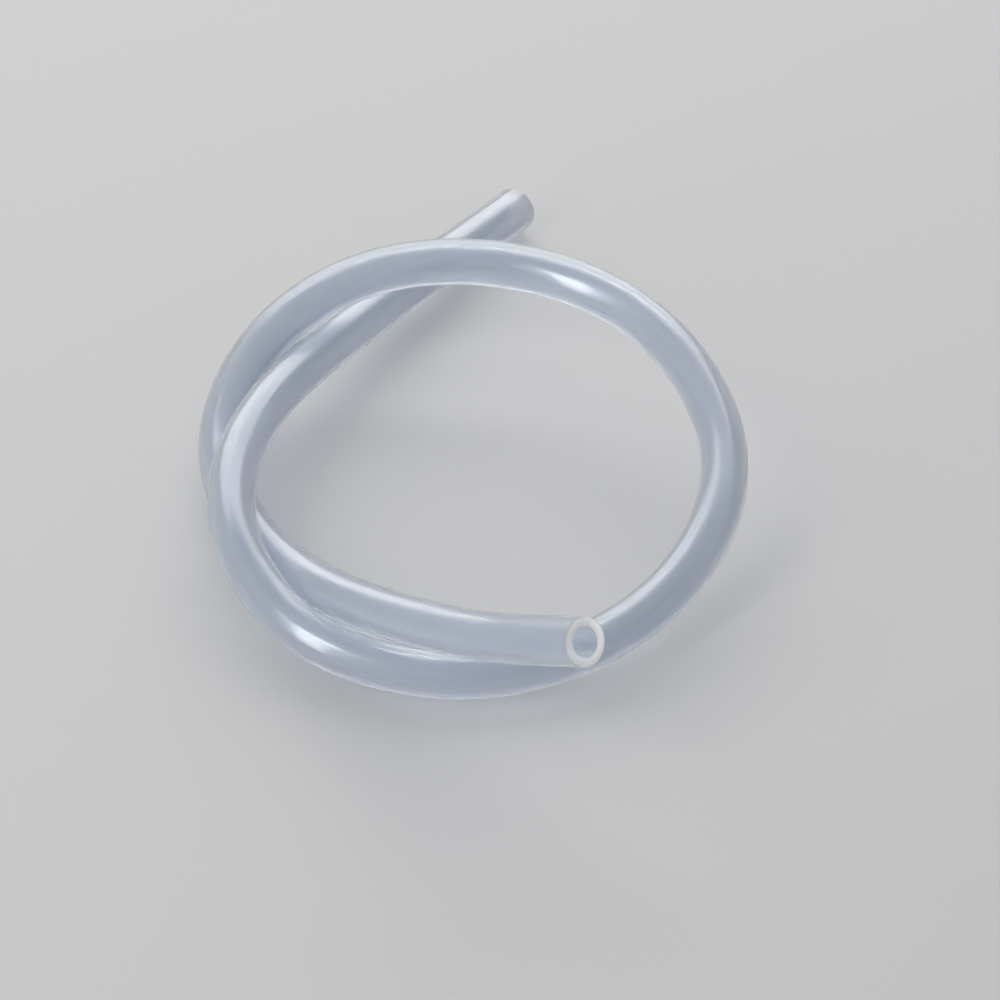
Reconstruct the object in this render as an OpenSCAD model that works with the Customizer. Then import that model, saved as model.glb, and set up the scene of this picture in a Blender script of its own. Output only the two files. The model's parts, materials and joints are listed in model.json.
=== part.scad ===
// Silicone tubing coil: one length of soft round tube, lying free in a loose turn, both ends cut square.
// Millimetres, +Z up. The origin is on the surface it lies on, under the middle of its bounding box.

/* [Tube] */
// Diameter of the bore
tube_bore = 5; // [4:0.1:6]
// Thickness of the wall
tube_wall = 1.5; // [1:0.1:2]

/* [Coil] */
// Radius of the loose turn, to the middle of the tube
turn_radius = 43; // [40:0.5:50]
// Depth of straight, round bore at each end, which a barbed fitting fills
socket_depth = 10; // [8:1:16]

/* [Hidden] */

tube_od = tube_bore + 2 * tube_wall;

// The route from the raised end to the end on the floor. Each point is [bearing clockwise seen from above
// (degrees), distance out from the middle of the turn (turn radii), lift off the floor (tube diameters)].
ROUTE = [
    // The raised end comes down to the floor
    [79, 1.54, 3.20],
    [87, 1.30, 2.25],
    [110, 0.98, 1.17],
    // On the floor, under the strand that closes the turn
    [147, 0.80, 0.00],
    [172, 0.89, 0.00],
    [200, 1.07, 0.15],
    // Up and over the tail
    [225, 1.16, 1.25],
    [251, 1.07, 2.45],
    [286, 1.01, 2.55],
    [317, 1.01, 2.35],
    [346, 1.04, 1.70],
    // Down the far side of the turn, to the floor at the front
    [373, 1.07, 1.25],
    [402, 1.07, 0.55],
    [430, 1.06, 0.10],
    [455, 1.07, 0.00],
    [483, 1.08, 0.16],
    // Up and over the first strand
    [507, 1.02, 0.85],
    [531, 0.93, 1.10],
    [564, 0.87, 1.20],
    // The tail leaves the turn, under the raised strand, and comes down to the floor
    [599, 1.02, 0.70],
    [620, 1.37, 0.40],
    [631, 1.76, 0.15],
];

// Rings between two points of the route, and flats round the tube
RINGS_PER_SPAN = 4;
TUBE_SIDES = 20;
// Straight tube past each socket, so that a fitting never reaches the bend
SOCKET_SPARE = 2;
// How far the swept bore stays inside the round sockets, so that they cut it cleanly
SWEEP_TRIM = 0.06;
// How far a cutter runs out past the face that it opens
CUT_OVERRUN = 1;

// The middle of the tube at one point of the route
function placed(stop) = [
    turn_radius * stop[1] * cos(-stop[0]),
    turn_radius * stop[1] * sin(-stop[0]),
    tube_od * (0.5 + stop[2]),
];

// The four weights of a uniform cubic B-spline, at t from 0 to 1 along a span
function weights(t) = [
    pow(1 - t, 3),
    3 * t * t * t - 6 * t * t + 4,
    -3 * t * t * t + 3 * t * t + 3 * t + 1,
    t * t * t,
] / 6;

function unit(v) = v / norm(v);

// A smooth line drawn toward the given points, which starts on the first and ends on the last
function smooth_line(points, steps) =
    let (
        last = len(points) - 1,
        guides = concat([2 * points[0] - points[1]], points, [2 * points[last] - points[last - 1]])
    )
    [
        for (i = [0 : last - 1], k = [0 : i == last - 1 ? steps : steps - 1])
            weights(k / steps) * [guides[i], guides[i + 1], guides[i + 2], guides[i + 3]]
    ];

// The line with a straight run added past each end
function with_straight_ends(line, reach) =
    let (last = len(line) - 1)
    concat(
        [line[0] + reach * unit(line[0] - line[1])],
        line,
        [line[last] + reach * unit(line[last] - line[last - 1])]
    );

// Which way the line heads at each of its points
function headings(line) =
    let (last = len(line) - 1)
    [for (i = [0 : last]) unit(line[min(i + 1, last)] - line[max(i - 1, 0)])];

// What is left of v square to the heading, at unit length
function squared(v, heading) = unit(v - (v * heading) * heading);

// A direction carried along the headings with no twist
function carried(v, along) =
    let (last = len(along) - 1)
    [
        for (
            i = 0, side = squared(v, along[0]);
            i <= last;
            i = i + 1, side = squared(side, along[min(i, last)])
        )
            side
    ];

// One ring of points of the given radius round the line at each of its points
function rings(line, radius) =
    let (along = headings(line), side = carried([0, 0, 1], along))
    [
        for (i = [0 : len(line) - 1], k = [0 : TUBE_SIDES - 1])
            let (turn = 360 * k / TUBE_SIDES)
            line[i] + radius * (cos(turn) * side[i] + sin(turn) * cross(along[i], side[i]))
    ];

// The two triangles of the wall piece between ring i and the next, at side k
function patch(i, k) =
    let (
        a = i * TUBE_SIDES + k,
        b = i * TUBE_SIDES + (k + 1) % TUBE_SIDES
    )
    [[a, b + TUBE_SIDES, b], [a, a + TUBE_SIDES, b + TUBE_SIDES]];

center_line = with_straight_ends(
    smooth_line([for (stop = ROUTE) placed(stop)], RINGS_PER_SPAN),
    socket_depth + SOCKET_SPARE
);
outer_points = rings(center_line, tube_od / 2);
box_low = [for (axis = [0 : 2]) min([for (p = outer_points) p[axis]])];
box_high = [for (axis = [0 : 2]) max([for (p = outer_points) p[axis]])];

// The hollow tube, swept along its line as one closed surface
module swept_wall() {
    inner_points = rings(center_line, tube_bore / 2 - SWEEP_TRIM);
    last = len(center_line) - 1;
    count = len(outer_points);
    wall = [for (i = [0 : last - 1], k = [0 : TUBE_SIDES - 1], triangle = patch(i, k)) triangle];
    start_face = [
        for (k = [0 : TUBE_SIDES - 1])
            let (next = (k + 1) % TUBE_SIDES)
            each [[k, next, count + k], [next, count + next, count + k]]
    ];
    end_face = [
        for (k = [0 : TUBE_SIDES - 1])
            let (a = last * TUBE_SIDES + k, b = last * TUBE_SIDES + (k + 1) % TUBE_SIDES)
            each [[b, a, count + b], [a, count + a, count + b]]
    ];
    inner_wall = [for (t = wall) [count + t[2], count + t[1], count + t[0]]];
    polyhedron(
        points = concat(outer_points, inner_points),
        faces = concat(wall, inner_wall, start_face, end_face)
    );
}

// A true round bore into the cut face at mouth, where outward is the way out
module socket(mouth, outward) {
    translate(mouth)
        rotate([0, acos(outward.z), atan2(outward.y, outward.x)])
            translate([0, 0, -socket_depth])
                cylinder(h = socket_depth + CUT_OVERRUN, d = tube_bore, $fn = 64);
}

module tube() {
    last = len(center_line) - 1;
    color([0.77, 0.80, 0.84])
        translate([-(box_low.x + box_high.x) / 2, -(box_low.y + box_high.y) / 2, -box_low.z])
            difference() {
                swept_wall();
                socket(center_line[0], unit(center_line[0] - center_line[1]));
                socket(center_line[last], unit(center_line[last] - center_line[last - 1]));
            }
}

tube();
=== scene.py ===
import json
import math

import bmesh
import bpy
from bpy.props import FloatProperty, FloatVectorProperty, IntProperty, PointerProperty
from mathutils import Matrix, Vector


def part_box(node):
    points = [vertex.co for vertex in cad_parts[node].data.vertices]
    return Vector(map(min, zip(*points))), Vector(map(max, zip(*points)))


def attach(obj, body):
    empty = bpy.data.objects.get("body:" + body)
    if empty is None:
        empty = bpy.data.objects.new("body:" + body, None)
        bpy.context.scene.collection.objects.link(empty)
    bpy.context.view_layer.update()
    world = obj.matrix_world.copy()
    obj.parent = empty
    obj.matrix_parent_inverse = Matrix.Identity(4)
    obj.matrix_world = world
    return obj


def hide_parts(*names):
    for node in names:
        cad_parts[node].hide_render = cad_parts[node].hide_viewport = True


bl_info = {
    "name": "Silicone Tubing Coil",
    "version": (1, 0, 0),
    "blender": (4, 5, 0),
    "location": "View3D > Sidebar > Tubing",
    "description": "Makes a loose coil of cloudy silicone tube and a plain studio to show it in",
    "category": "Object",
}

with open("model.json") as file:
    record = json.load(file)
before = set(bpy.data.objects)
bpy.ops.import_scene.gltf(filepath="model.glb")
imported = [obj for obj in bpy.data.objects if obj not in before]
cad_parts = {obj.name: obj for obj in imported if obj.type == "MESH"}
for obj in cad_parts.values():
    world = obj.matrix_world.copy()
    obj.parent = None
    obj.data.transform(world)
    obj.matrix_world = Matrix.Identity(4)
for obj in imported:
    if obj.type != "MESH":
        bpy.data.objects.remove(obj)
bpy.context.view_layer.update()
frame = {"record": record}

MOUNTS = {mount["name"]: mount for mount in frame["record"]["mounts"]}
NEAR_BORE = MOUNTS["near_bore"]["dims"]
MILLIMETRE = 0.001

# The route from the raised end to the end on the floor. Each point is (bearing clockwise seen from above
# in degrees, distance out from the middle of the turn in turn radii, lift off the floor in tube diameters).
ROUTE = (
    # The raised end comes down to the floor
    (79, 1.54, 3.20),
    (87, 1.30, 2.25),
    (110, 0.98, 1.17),
    # On the floor, under the strand that closes the turn
    (147, 0.80, 0.00),
    (172, 0.89, 0.00),
    (200, 1.07, 0.15),
    # Up and over the tail
    (225, 1.16, 1.25),
    (251, 1.07, 2.45),
    (286, 1.01, 2.55),
    (317, 1.01, 2.35),
    (346, 1.04, 1.70),
    # Down the far side of the turn, to the floor at the front
    (373, 1.07, 1.25),
    (402, 1.07, 0.55),
    (430, 1.06, 0.10),
    (455, 1.07, 0.00),
    (483, 1.08, 0.16),
    # Up and over the first strand
    (507, 1.02, 0.85),
    (531, 0.93, 1.10),
    (564, 0.87, 1.20),
    # The tail leaves the turn, under the raised strand, and comes down to the floor
    (599, 1.02, 0.70),
    (620, 1.37, 0.40),
    (631, 1.76, 0.15),
)

RINGS_PER_SPAN = 22
# Straight tube past each socket, so that a fitting never reaches the bend
SOCKET_SPARE = 2 * MILLIMETRE
# Where rings stand on each straight end, as shares of its length
STRAIGHT_RINGS = (0.25, 0.5, 0.75, 1.0)
# A ring this far inside each mouth keeps the rounding of the cut edge out of the wall's shading
HOLDING_RING = 0.35 * MILLIMETRE
CUT_EDGE_SEGMENTS = 3
# Points closer than this are one
WELD = 0.001 * MILLIMETRE
# The attribute that says where each point would lie if the tube were pulled straight along Z
STRAIGHTENED = "straightened"

SILICONE_IOR = 1.41
# How far light spreads in the cloud, and how red, green and blue light compare in that
CLOUD_DEPTH = 4 * MILLIMETRE
CLOUD_REACH = (1.0, 1.1, 1.3)
# What is left of the lamps' light where it goes straight in
LAMP_TINT = (0.97, 0.98, 1.0, 1.0)
# How fine each pattern is, in waves a metre. The drawn lines are long, so they have fewer along the tube.
LINE_WAVES = (900, 900, 12)
CLOUD_WAVES = 120.0
GRAIN_WAVES = 4000.0
# Height of the drawn lines and of the knife's grain
RELIEF_HEIGHT = 0.04 * MILLIMETRE
# The bore is the smoothest. The outside adds to its roughness, and the drawn lines add to that.
BORE_ROUGHNESS = 0.03
OUTSIDE_ROUGHNESS = 0.23
LINE_ROUGHNESS = 0.08


class TubeSettings(bpy.types.PropertyGroup):
    """Sizes of the tube and of the turn that it lies in"""

    bore: FloatProperty(
        name="Bore",
        description="Diameter of the bore",
        default=2 * NEAR_BORE["r_mm"] * MILLIMETRE,
        min=0.001,
        subtype="DISTANCE",
        unit="LENGTH",
        precision=4,
    )
    wall: FloatProperty(
        name="Wall",
        description="Thickness of the wall",
        default=0.0015,
        min=0.0002,
        subtype="DISTANCE",
        unit="LENGTH",
        precision=4,
    )
    turn_radius: FloatProperty(
        name="Turn radius",
        description="Radius of the loose turn, to the middle of the tube",
        default=0.043,
        min=0.02,
        subtype="DISTANCE",
        unit="LENGTH",
        precision=4,
    )
    socket_depth: FloatProperty(
        name="Socket depth",
        description="Depth of straight bore at each end, which a fitting fills",
        default=NEAR_BORE["length_mm"] * MILLIMETRE,
        min=0.0,
        subtype="DISTANCE",
        unit="LENGTH",
        precision=4,
    )
    cut_edge: FloatProperty(
        name="Cut edge",
        description="Rounding of the edges that the knife leaves",
        default=0.00012,
        min=0.00001,
        subtype="DISTANCE",
        unit="LENGTH",
        precision=5,
    )
    sides: IntProperty(
        name="Sides",
        description="Flats round the tube",
        default=80,
        min=12,
        max=96,
    )


class SiliconeSettings(bpy.types.PropertyGroup):
    """Look of the silicone"""

    colour: FloatVectorProperty(
        name="Colour",
        description="Colour of the cloud in the silicone",
        default=(0.63, 0.675, 0.75),
        min=0.0,
        max=1.0,
        size=3,
        subtype="COLOR",
    )
    thick_cloud: FloatVectorProperty(
        name="Thick cloud",
        description="Colour where the cloud in the silicone is a little thicker",
        default=(0.70, 0.735, 0.79),
        min=0.0,
        max=1.0,
        size=3,
        subtype="COLOR",
    )
    cut_colour: FloatVectorProperty(
        name="Cut colour",
        description="Colour of the frosted face that the knife leaves",
        default=(0.93, 0.95, 0.985),
        min=0.0,
        max=1.0,
        size=3,
        subtype="COLOR",
    )
    clearness: FloatProperty(
        name="Clearness",
        description="Share of the light that goes through and isn't scattered",
        default=0.80,
        min=0.0,
        max=1.0,
        subtype="FACTOR",
    )
    glow: FloatProperty(
        name="Glow",
        description="Share of the lamps' light that reaches inside, and makes the shadow pale",
        default=0.8,
        min=0.0,
        max=1.0,
        subtype="FACTOR",
    )


class StageSettings(bpy.types.PropertyGroup):
    """Floor and light round the tube"""

    floor_colour: FloatVectorProperty(
        name="Floor",
        description="Colour of the floor",
        default=(0.57, 0.57, 0.575),
        min=0.0,
        max=1.0,
        size=3,
        subtype="COLOR",
    )
    key_power: FloatProperty(
        name="Key light",
        description="Power of the wide soft box behind and above the tube",
        default=10.5,
        min=0.0,
        unit="POWER",
    )
    window_power: FloatProperty(
        name="Window light",
        description="Power of the tall, narrow soft box at the left in front, which makes the highlights",
        default=6.4,
        min=0.0,
        unit="POWER",
    )
    fill: FloatProperty(
        name="Fill light",
        description="Strength of the light that comes from all round",
        default=0.37,
        min=0.0,
    )


# The line of the tube


def placed(stop, turn_radius, outside):
    """The middle of the tube at one point of the route"""
    bearing, reach, lift = stop
    angle = math.radians(-bearing)
    out = turn_radius * reach
    return Vector((out * math.cos(angle), out * math.sin(angle), outside * (0.5 + lift)))


def spline_point(guides, t):
    """The point at t from 0 to 1 on the uniform cubic B-spline over four guides"""
    weights = (
        (1 - t) ** 3,
        3 * t**3 - 6 * t**2 + 4,
        -3 * t**3 + 3 * t**2 + 3 * t + 1,
        t**3,
    )
    return sum((weight * guide for weight, guide in zip(weights, guides)), Vector()) / 6


def smooth_line(points, steps):
    """A smooth line drawn toward the points, which starts on the first and ends on the last"""
    guides = [2 * points[0] - points[1], *points, 2 * points[-1] - points[-2]]
    line = [
        spline_point(guides[span : span + 4], step / steps)
        for span in range(len(points) - 1)
        for step in range(steps)
    ]
    return [*line, spline_point(guides[-4:], 1.0)]


def straight_end(line, reaches):
    """Points that run straight on from the first of the line's points, the farthest first"""
    outward = (line[0] - line[1]).normalized()
    return [line[0] + reach * outward for reach in sorted(reaches, reverse=True)]


def tube_line(tube):
    """The middle line of the tube, with a straight run at each end"""
    outside = tube.bore + 2 * tube.wall
    points = [placed(stop, tube.turn_radius, outside) for stop in ROUTE]
    line = smooth_line(points, RINGS_PER_SPAN)
    full = tube.socket_depth + SOCKET_SPARE
    reaches = [full - HOLDING_RING, *(full * share for share in STRAIGHT_RINGS)]
    start = straight_end(line, reaches)
    finish = straight_end(line[::-1], reaches)[::-1]
    return [*start, *line, *finish]


def ring_frames(line):
    """A matrix for each point of the line, with Z along it and no twist from one to the next"""
    frames = []
    side = Vector((0, 0, 1))
    for i, point in enumerate(line):
        heading = (line[min(i + 1, len(line) - 1)] - line[max(i - 1, 0)]).normalized()
        side = (side - side.dot(heading) * heading).normalized()
        matrix = Matrix((side, heading.cross(side), heading)).transposed().to_4x4()
        matrix.translation = point
        frames.append(matrix)
    return frames


def lengths_along(line):
    """How far along the line each of its points lies"""
    reached = [0.0]
    for before, after in zip(line, line[1:]):
        reached.append(reached[-1] + (after - before).length)
    return reached


# The mesh of the tube


def next_ring(mesh, edges, move):
    """Draws on from a ring of edges and moves the new ring. Returns its points, its edges and the faces"""
    made = bmesh.ops.extrude_edge_only(mesh, edges=edges)["geom"]
    points = [item for item in made if isinstance(item, bmesh.types.BMVert)]
    held = set(points)
    onward = [
        item for item in made if isinstance(item, bmesh.types.BMEdge) and held.issuperset(item.verts)
    ]
    faces = [item for item in made if isinstance(item, bmesh.types.BMFace)]
    bmesh.ops.transform(mesh, matrix=move, verts=points)
    return points, onward, faces


def tube_mesh(tube, line):
    """The hollow tube, one ring drawn down the outside and up the bore. Its cut faces have material 1"""
    mesh = bmesh.new()
    straightened = mesh.verts.layers.float_vector.new(STRAIGHTENED)
    frames = ring_frames(line)
    along = lengths_along(line)
    outside = tube.bore / 2 + tube.wall
    last = len(line) - 1
    stops = [(i, outside) for i in range(last + 1)]
    stops += [(i, tube.bore / 2) for i in range(last, -1, -1)]
    stops += [(0, outside)]
    places = [frames[i] @ Matrix.Scale(radius, 4) for i, radius in stops]
    ring = bmesh.ops.create_circle(mesh, segments=tube.sides, radius=1.0, matrix=places[0])["verts"]
    edges = mesh.edges[:]
    for step, (i, radius) in enumerate(stops):
        if step > 0:
            move = places[step] @ places[step - 1].inverted()
            ring, edges, faces = next_ring(mesh, edges, move)
            for face in faces:
                face.material_index = int(radius != stops[step - 1][1])
        upright = frames[i].inverted()
        for vert in ring:
            local = upright @ vert.co
            vert[straightened] = (local.x, local.y, along[i])
    bmesh.ops.remove_doubles(mesh, verts=mesh.verts, dist=WELD)
    bmesh.ops.recalc_face_normals(mesh, faces=mesh.faces)
    rims = [edge for edge in mesh.edges if len({face.material_index for face in edge.link_faces}) == 2]
    bmesh.ops.bevel(
        mesh,
        geom=rims,
        offset=tube.cut_edge,
        offset_type="OFFSET",
        segments=CUT_EDGE_SEGMENTS,
        profile=0.5,
        affect="EDGES",
        material=-1,
    )
    cut_faces = [face for face in mesh.faces if face.material_index == 1]
    bmesh.ops.inset_region(mesh, faces=cut_faces, thickness=tube.cut_edge, use_even_offset=True)
    for face in mesh.faces:
        face.smooth = True
    return mesh


# Materials


class Signal:
    """The output of a shader node, on which sums are written as they are on numbers"""

    def __init__(self, tree, socket):
        self.tree = tree
        self.socket = socket

    def math(self, operation, other):
        return self.tree.node("ShaderNodeMath", {"operation": operation}, self, other)

    def __add__(self, other):
        return self.math("ADD", other)

    def __mul__(self, other):
        return self.math("MULTIPLY", other)

    __radd__ = __add__
    __rmul__ = __mul__


class Tree:
    """A node tree that is filled from empty"""

    def __init__(self, nodes_of):
        nodes_of.use_nodes = True
        self.nodes = nodes_of.node_tree.nodes
        self.links = nodes_of.node_tree.links
        self.nodes.clear()

    def node(self, kind, settings, *values, output=0, **named):
        """Adds a node. Values go to its sockets in order, or by name with _ for a space."""
        made = self.nodes.new(kind)
        for name, setting in settings.items():
            setattr(made, name, setting)
        for key, value in [*enumerate(values), *named.items()]:
            socket = made.inputs[key if isinstance(key, int) else key.replace("_", " ")]
            if isinstance(value, Signal):
                self.links.new(value.socket, socket)
            elif value is not None:
                socket.default_value = value
        return Signal(self, made.outputs[output]) if made.outputs else made

    def blend(self, share, first, second):
        """A colour that goes from first to second as share goes from 0 to 1"""
        colours = ((*first, 1.0), (*second, 1.0))
        # The Mix node's sockets for numbers and vectors lie between its share and its two colours
        passed_over = (None,) * 5
        return self.node("ShaderNodeMix", {"data_type": "RGBA"}, share, *passed_over, *colours, output=2)


def let_lamps_in(tree, shader, glow):
    """Mixes in a clear shader for the lamps' rays, so that the cloud is lit from inside too"""
    lamp_ray = tree.node("ShaderNodeLightPath", {}, output="Is Shadow Ray")
    clear = tree.node("ShaderNodeBsdfTransparent", {}, Color=LAMP_TINT)
    return tree.node("ShaderNodeMixShader", {}, lamp_ray * glow, shader, clear)


def silicone_material(look, mid_wall):
    """Cloudy silicone, with the faint lines of a drawn tube outside. Closer in than mid_wall it is smooth"""
    material = bpy.data.materials.new("cloudy_silicone")
    tree = Tree(material)
    place = tree.node("ShaderNodeAttribute", {"attribute_name": STRAIGHTENED}, output="Vector")
    along = tree.node("ShaderNodeMapping", {}, place, Scale=LINE_WAVES)
    lines = tree.node("ShaderNodeTexNoise", {}, Vector=along, Scale=1.0, Detail=3.0)
    cloud = tree.node("ShaderNodeTexNoise", {}, Vector=place, Scale=CLOUD_WAVES, Detail=2.0)
    relief = tree.node("ShaderNodeBump", {}, Strength=0.03, Distance=RELIEF_HEIGHT, Height=lines)
    # Flattened along the tube, a place is as long as it is far out
    across = tree.node("ShaderNodeMapping", {}, place, Scale=(1, 1, 0))
    radius = tree.node("ShaderNodeVectorMath", {"operation": "LENGTH"}, across, output="Value")
    outside = radius.math("GREATER_THAN", mid_wall)
    shader = tree.node(
        "ShaderNodeBsdfPrincipled",
        {"subsurface_method": "RANDOM_WALK"},
        Base_Color=tree.blend(cloud, look.colour, look.thick_cloud),
        Roughness=BORE_ROUGHNESS + outside * (OUTSIDE_ROUGHNESS + LINE_ROUGHNESS * lines),
        IOR=SILICONE_IOR,
        Transmission_Weight=look.clearness,
        Subsurface_Weight=1.0,
        Subsurface_Radius=CLOUD_REACH,
        Subsurface_Scale=CLOUD_DEPTH,
        Coat_Weight=0.8,
        Coat_Roughness=0.10,
        Coat_IOR=SILICONE_IOR,
        Normal=relief,
    )
    tree.node("ShaderNodeOutputMaterial", {}, let_lamps_in(tree, shader, look.glow))
    return material


def cut_material(look):
    """The face that the knife leaves, finely frosted"""
    material = bpy.data.materials.new("cut_silicone")
    tree = Tree(material)
    place = tree.node("ShaderNodeAttribute", {"attribute_name": STRAIGHTENED}, output="Vector")
    grain = tree.node("ShaderNodeTexNoise", {}, Vector=place, Scale=GRAIN_WAVES, Detail=2.0)
    relief = tree.node("ShaderNodeBump", {}, Strength=0.15, Distance=RELIEF_HEIGHT, Height=grain)
    shader = tree.node(
        "ShaderNodeBsdfPrincipled",
        {"subsurface_method": "RANDOM_WALK"},
        Base_Color=(*look.cut_colour, 1.0),
        Roughness=0.45 + 0.1 * grain,
        IOR=SILICONE_IOR,
        Subsurface_Weight=1.0,
        Subsurface_Radius=CLOUD_REACH,
        Subsurface_Scale=CLOUD_DEPTH,
        Normal=relief,
    )
    tree.node("ShaderNodeOutputMaterial", {}, let_lamps_in(tree, shader, look.glow))
    return material


# The piece


def way_to_solid(mesh):
    """How far to move the mesh, so that it lies as its plain solid does"""
    low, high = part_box("tube")
    own_low = Vector(min(vert.co[axis] for vert in mesh.verts) for axis in range(3))
    own_high = Vector(max(vert.co[axis] for vert in mesh.verts) for axis in range(3))
    way = (low + high - own_low - own_high) / 2
    way.z = low.z - own_low.z
    return way


class TUBING_OT_add_tube(bpy.types.Operator):
    """Make the coil of tube in place of its plain solid"""

    bl_idname = "tubing.add_tube"
    bl_label = "Add Tube"
    bl_options = {"REGISTER", "UNDO"}

    def execute(self, context):
        tube = context.scene.tubing_tube
        line = tube_line(tube)
        made = tube_mesh(tube, line)
        way = way_to_solid(made)
        bmesh.ops.translate(made, vec=way, verts=made.verts)
        path = [point + way for point in line]
        data = bpy.data.meshes.new("silicone_tube")
        made.to_mesh(data)
        made.free()
        look = context.scene.tubing_silicone
        data.materials.append(silicone_material(look, (tube.bore + tube.wall) / 2))
        data.materials.append(cut_material(look))
        piece = bpy.data.objects.new("silicone_tube", data)
        context.scene.collection.objects.link(piece)
        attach(piece, "root")
        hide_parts("tube")
        lengths_along(path)[-1]
        return {"FINISHED"}


# The stage

# The camera looks down at the coil from in front, through a long lens, and is rolled a little
CAMERA_TARGET = Vector((0.00510, 0.00036, -0.00012))
CAMERA_DISTANCE = 0.9282
CAMERA_ELEVATION = math.radians(38.74)
CAMERA_ROLL = math.radians(1.635)
CAMERA_LENS = 196.8
CAMERA_SENSOR = 36.0

# Where the middle of each soft box is, and its width and height
KEY_PLACE = (-0.1, 0.95, 0.65)
KEY_SIZE = (1.4, 1.0)
WINDOW_PLACE = (-0.72, -0.66, 0.55)
WINDOW_SIZE = (0.22, 1.0)

# How far the floor goes from the middle, each way
FLOOR_REACH = 4.0


def add_camera(scene):
    """The camera, above the front of the coil"""
    data = bpy.data.cameras.new("camera")
    data.lens = CAMERA_LENS
    data.sensor_width = CAMERA_SENSOR
    camera = bpy.data.objects.new("camera", data)
    scene.collection.objects.link(camera)
    back = Vector((0, -math.cos(CAMERA_ELEVATION), math.sin(CAMERA_ELEVATION)))
    tilt = Matrix.Rotation(math.pi / 2 - CAMERA_ELEVATION, 4, "X")
    roll = Matrix.Rotation(CAMERA_ROLL, 4, "Z")
    camera.matrix_world = Matrix.Translation(CAMERA_TARGET + CAMERA_DISTANCE * back) @ tilt @ roll
    scene.camera = camera


def add_soft_box(scene, name, place, size, power):
    """A soft box at place, this wide and high, that faces the tube"""
    data = bpy.data.lights.new(name, "AREA")
    data.shape = "RECTANGLE"
    data.size, data.size_y = size
    data.energy = power
    lamp = bpy.data.objects.new(name, data)
    scene.collection.objects.link(lamp)
    lamp.location = place
    lamp.rotation_euler = (-Vector(place)).to_track_quat("-Z", "Y").to_euler()


def add_floor(scene, colour):
    """A plain matt floor under the tube"""
    made = bmesh.new()
    bmesh.ops.create_grid(made, x_segments=1, y_segments=1, size=FLOOR_REACH)
    data = bpy.data.meshes.new("floor")
    made.to_mesh(data)
    made.free()
    floor = bpy.data.objects.new("floor", data)
    scene.collection.objects.link(floor)
    material = bpy.data.materials.new("floor")
    tree = Tree(material)
    shader = tree.node("ShaderNodeBsdfPrincipled", {}, Base_Color=(*colour, 1.0), Roughness=0.6)
    tree.node("ShaderNodeOutputMaterial", {}, shader)
    data.materials.append(material)


def add_fill(scene, strength):
    """White light from all round"""
    world = bpy.data.worlds.new("world")
    scene.world = world
    tree = Tree(world)
    light = tree.node("ShaderNodeBackground", {}, Color=(1, 1, 1, 1), Strength=strength)
    tree.node("ShaderNodeOutputWorld", {}, light)


class TUBING_OT_add_stage(bpy.types.Operator):
    """Make the floor, the lights and the camera"""

    bl_idname = "tubing.add_stage"
    bl_label = "Add Stage"
    bl_options = {"REGISTER", "UNDO"}

    def execute(self, context):
        scene = context.scene
        look = scene.tubing_stage
        add_floor(scene, look.floor_colour)
        add_fill(scene, look.fill)
        add_soft_box(scene, "key", KEY_PLACE, KEY_SIZE, look.key_power)
        add_soft_box(scene, "window", WINDOW_PLACE, WINDOW_SIZE, look.window_power)
        add_camera(scene)
        scene.view_settings.view_transform = "Standard"
        return {"FINISHED"}


# The panel and the add-on


class TUBING_PT_panel(bpy.types.Panel):
    """Lists the tube's sizes, its look and the stage"""

    bl_idname = "TUBING_PT_panel"
    bl_label = "Silicone Tubing Coil"
    bl_space_type = "VIEW_3D"
    bl_region_type = "UI"
    bl_category = "Tubing"

    def draw(self, context):
        layout = self.layout
        scene = context.scene
        for group, operator in (
            (scene.tubing_tube, "tubing.add_tube"),
            (scene.tubing_silicone, None),
            (scene.tubing_stage, "tubing.add_stage"),
        ):
            box = layout.box()
            for name in group.__annotations__:
                box.prop(group, name)
            if operator:
                box.operator(operator)


CLASSES = (
    TubeSettings,
    SiliconeSettings,
    StageSettings,
    TUBING_OT_add_tube,
    TUBING_OT_add_stage,
    TUBING_PT_panel,
)


def register():
    for cls in CLASSES:
        bpy.utils.register_class(cls)
    bpy.types.Scene.tubing_tube = PointerProperty(type=TubeSettings)
    bpy.types.Scene.tubing_silicone = PointerProperty(type=SiliconeSettings)
    bpy.types.Scene.tubing_stage = PointerProperty(type=StageSettings)


def unregister():
    del bpy.types.Scene.tubing_tube
    del bpy.types.Scene.tubing_silicone
    del bpy.types.Scene.tubing_stage
    for cls in reversed(CLASSES):
        bpy.utils.unregister_class(cls)


def main():
    register()
    bpy.ops.tubing.add_tube()
    bpy.ops.tubing.add_stage()


if __name__ == "__main__":
    main()
